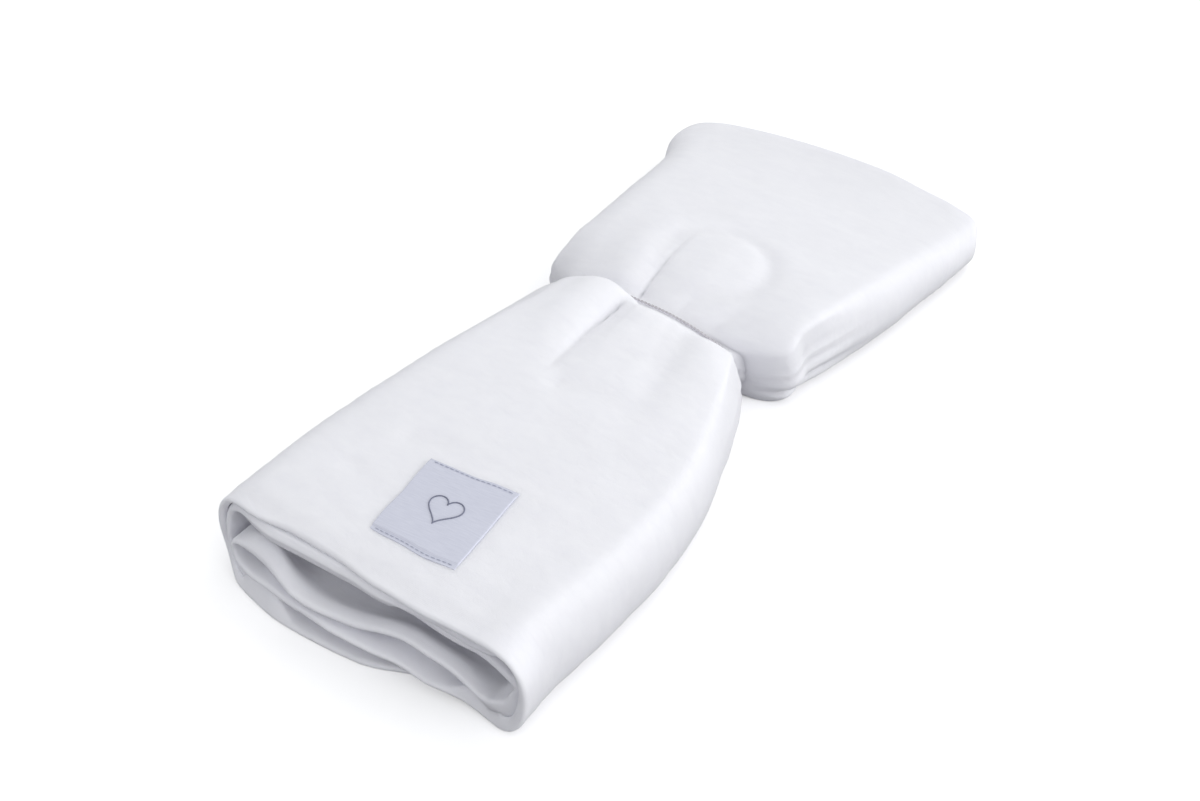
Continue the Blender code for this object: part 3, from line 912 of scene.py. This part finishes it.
def taut_outline(points):
    """The taut outline round a set of points, anticlockwise."""
    points = sorted(set(map(tuple, np.round(points, 3))))

    def turn(chain):
        result = []
        for point in chain:
            while len(result) > 1 and (
                    (result[-1][0] - result[-2][0]) * (point[1] - result[-2][1])
                    - (result[-1][1] - result[-2][1]) * (point[0] - result[-2][0])) <= 0:
                result.pop()
            result.append(point)
        return result[:-1]

    return np.array(turn(points) + turn(points[::-1]))


def build_tie(cloth, material):
    """The cord: two twisted strands, drawn taut round the waist in a closed loop."""
    points = np.empty(len(cloth.data.vertices) * 3)
    cloth.data.vertices.foreach_get("co", points)
    points = points.reshape(-1, 3) / MM + (*MIDDLE, 0.0)
    waist = points[np.abs(points[:, 1] - TIE_Y) < SEAT][:, (0, 2)]
    angles = np.linspace(0.0, 2 * math.pi, HULL_STEPS, endpoint=False)
    ring = np.stack([np.cos(angles), np.sin(angles)], axis=1) * (CORD / 2 + CORD_GAP)
    outline = taut_outline((taut_outline(waist)[:, None, :] + ring[None]).reshape(-1, 2))
    loop = np.vstack([outline, outline[:1]])
    length = np.concatenate([[0.0], np.cumsum(np.linalg.norm(np.diff(loop, axis=0), axis=1))])
    turns = round(length[-1] / TWIST_PITCH)
    even = np.linspace(0.0, length[-1], turns * TWIST_STEPS, endpoint=False)
    centre = np.stack([np.interp(even, length, loop[:, k]) for k in (0, 1)], axis=1)
    for _ in range(TIE_SMOOTHING):
        centre = (np.roll(centre, 1, axis=0) + 2 * centre + np.roll(centre, -1, axis=0)) / 4
    along = np.roll(centre, -1, axis=0) - np.roll(centre, 1, axis=0)
    along /= np.linalg.norm(along, axis=1)[:, None]
    outward = np.stack([along[:, 1], 0 * along[:, 0], -along[:, 0]], axis=1)
    line = np.stack([centre[:, 0], np.full(len(centre), TIE_Y), centre[:, 1]], axis=1)
    threads = []
    for start in (0.0, math.pi):
        turn = (start + 2 * math.pi * turns * even / length[-1])[:, None]
        sideways = np.cos(turn) * outward + np.sin(turn) * np.array((0.0, 1.0, 0.0))
        threads.append(thread(line + sideways * CORD * STRAND_OFF, CORD * STRAND_RADIUS,
                              closed=True, normals=sideways))
    return join_threads("tie_cord", threads, material)


class Nodes:
    """Adds nodes to a material and links them."""

    def __init__(self, name, colour, roughness, sheen):
        self.material = bpy.data.materials.new(name)
        self.material.use_nodes = True
        self.tree = self.material.node_tree
        self.shader = self.tree.nodes["Principled BSDF"]
        self.give({"Base Color": (*colour, 1.0), "Roughness": roughness,
                   "Sheen Weight": sheen, "Sheen Roughness": 0.5})

    def give(self, values):
        """Sets values on the shader's own sockets."""
        for name, value in values.items():
            self.shader.inputs[name].default_value = value

    def add(self, kind, inputs=None, **settings):
        node = self.tree.nodes.new(kind)
        for name, value in settings.items():
            setattr(node, name, value)
        for socket, value in (inputs or {}).items():
            if isinstance(value, bpy.types.NodeSocket):
                self.tree.links.new(value, node.inputs[socket])
            else:
                node.inputs[socket].default_value = value
        return node

    def sum(self, first, second, share):
        """first + second x share"""
        inputs = {0: second, 1: share, 2: first}
        return self.add("ShaderNodeMath", inputs, operation="MULTIPLY_ADD").outputs[0]

    def noise(self, place, size, detail, distortion):
        """Soft noise whose patches have the given size, in millimetres, along the three axes."""
        inputs = {0: place, 1: tuple(1 / (length * MM) for length in size)}
        scaled = self.add("ShaderNodeVectorMath", inputs, operation="MULTIPLY").outputs[0]
        inputs = {"Vector": scaled, "Scale": 1.0, "Detail": detail,
                  "Roughness": 0.55, "Distortion": distortion}
        return self.add("ShaderNodeTexNoise", inputs).outputs[0]

    def bands(self, place, pitch, direction, distortion):
        """Even bands, pitch millimetres from one to the next."""
        inputs = {"Vector": place, "Scale": math.pi / (10 * pitch * MM),
                  "Distortion": distortion, "Detail": 1.0}
        return self.add("ShaderNodeTexWave", inputs,
                        wave_type="BANDS", bands_direction=direction).outputs["Fac"]

    def ramp(self, value, low, high, tones):
        """A colour from the first tone to the second as the value goes from low to high."""
        inputs = {"Value": value, "From Min": low, "From Max": high}
        share = self.add("ShaderNodeMapRange", inputs).outputs[0]
        first, second = tones
        inputs = {"Factor": share, "A": (*first, 1), "B": (*second, 1)}
        return self.add("ShaderNodeMix", inputs, data_type="RGBA").outputs["Result"]

    def bump(self, height, strength, distance, before=None):
        inputs = {"Strength": strength, "Distance": distance * MM, "Height": height}
        if before:
            inputs["Normal"] = before
        return self.add("ShaderNodeBump", inputs).outputs[0]

    def link(self, output, name):
        self.tree.links.new(output, self.shader.inputs[name])


def satin_material():
    """Grey-lavender satin: fine ribs across, a soft gloss and uneven threads."""
    n = Nodes("label_satin", SATIN_PLAIN, 0.5, 0.1)
    n.give({"Specular IOR Level": 0.35})
    uv = n.add("ShaderNodeUVMap", uv_map="weave").outputs[0]
    ribs = n.bands(uv, 0.42, "Y", 0.3)
    warp = n.bands(uv, 0.3, "X", 0.5)
    uneven = n.noise(uv, (5.0, 0.5, 1.0), 3.0, 0.2)
    height = n.sum(n.sum(ribs, warp, 0.5), uneven, 0.8)
    n.link(n.bump(height, 0.25, 0.1), "Normal")
    n.link(n.ramp(n.sum(uneven, ribs, 0.25), 0.35, 0.9, SATIN_TONES), "Base Color")
    return n.material


def thread_material(name, tones, roughness):
    """Spun thread: small uneven patches of two tones, slightly raised."""
    n = Nodes(name, tones[1], roughness, 0.2)
    place = n.add("ShaderNodeTexCoord").outputs["Object"]
    fibres = n.noise(place, (0.5, 0.5, 0.5), 3.0, 0.4)
    n.link(n.ramp(fibres, 0.35, 0.65, tones), "Base Color")
    n.link(n.bump(fibres, 0.4, 0.15), "Normal")
    return n.material


def muslin_material():
    """White double gauze: fine crinkles, a loose weave with slubs and a soft nap."""
    n = Nodes("muslin", MUSLIN_PLAIN, 0.92, 0.3)
    n.give({"Subsurface Weight": 0.5, "Subsurface Radius": (1.0, 1.0, 1.0), "Subsurface Scale": 0.006})
    uv = n.add("ShaderNodeUVMap", uv_map="weave").outputs[0]
    crinkles = n.noise(uv, (7.0, 3.4, 1.0), 3.0, 0.5)
    soft = n.noise(uv, (26.0, 9.0, 1.0), 2.0, 0.5)
    slubs = n.noise(uv, (15.0, 0.7, 1.0), 1.0, 0.2)
    weave = n.sum(n.bands(uv, 0.5, "X", 0.6), n.bands(uv, 0.5, "Y", 0.6), 1.0)
    crinkled = n.bump(n.sum(crinkles, slubs, 0.05), 0.3, 0.6)
    n.link(n.bump(weave, 0.12, 0.12, crinkled), "Normal")
    n.link(n.ramp(n.sum(crinkles, soft, 0.8), 0.5, 1.2, MUSLIN_TONES), "Base Color")
    return n.material


def build_floor(name, height, colour, glow):
    """A level square floor, far wider than the view."""
    corners = [(x * FLOOR_REACH, y * FLOOR_REACH, height)
               for x, y in ((-1, -1), (1, -1), (1, 1), (-1, 1))]
    mesh = bpy.data.meshes.new(name)
    mesh.from_pydata(corners, [], [(0, 1, 2, 3)])
    floor = add_object(name, mesh)
    n = Nodes(name, colour, FLOOR_ROUGHNESS, 0.0)
    n.give({"Emission Color": (1.0, 1.0, 1.0, 1.0), "Emission Strength": glow, "Specular IOR Level": 0.0})
    mesh.materials.append(n.material)
    return floor


def build_stage():
    """A white floor to look at, a darker one under it that throws light back, and two lamps."""
    seen = build_floor("floor", 0.0, FLOOR_COLOUR, FLOOR_GLOW)
    for rays in ("diffuse", "glossy", "transmission", "shadow"):
        setattr(seen, "visible_" + rays, False)
    below = build_floor("floor_below", -BELOW_DEPTH, BELOW_COLOUR, 0.0)
    below.visible_camera = False

    world = bpy.data.worlds.new("studio")
    world.use_nodes = True
    background = world.node_tree.nodes["Background"]
    background.inputs["Color"].default_value = (*WORLD_COLOUR, 1.0)
    background.inputs["Strength"].default_value = WORLD_STRENGTH
    bpy.context.scene.world = world

    for name, at, size, power in LAMPS:
        light = bpy.data.lights.new(name, "AREA")
        light.size = size
        light.energy = power
        lamp = add_object(name, light)
        lamp.location = at
        lamp.rotation_euler = (-Vector(at)).to_track_quat("-Z", "Y").to_euler()


def build_camera():
    camera = bpy.data.cameras.new("camera")
    camera.lens = CAMERA_LENS
    camera.sensor_width = CAMERA_SENSOR
    camera.clip_start = CAMERA_NEAREST
    holder = add_object("camera", camera)
    holder.location = Vector(to_metres(CAMERA_AT))
    holder.rotation_euler = (math.pi / 2 - CAMERA_DOWN, 0.0, CAMERA_TURN)
    bpy.context.scene.camera = holder
    bpy.context.scene.view_settings.view_transform = "Standard"


def own(piece, slot, *nodes):
    """Sets a piece on the one body and hides the nodes that it stands for; the slot, its finish's name,
    is not used.
    """
    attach(piece, "root")
    if nodes:
        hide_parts(*nodes)
    return piece


build_camera()
build_stage()
cloth = own(build_cloth(muslin_material()), "muslin", "blanket")
label = own(build_label(satin_material()), "label_satin", "label")
label_thread = thread_material("label_thread", STITCH_TONES, THREAD_ROUGHNESS)
stitches = own(build_stitches(label_thread), "label_satin")
motif_thread = thread_material("motif_thread", MOTIF_TONES, THREAD_ROUGHNESS)
motif = own(build_motif(motif_thread), "label_satin")
cord = thread_material("cord", CORD_TONES, CORD_ROUGHNESS)
own(build_tie(cloth, cord), "cord", "tie")
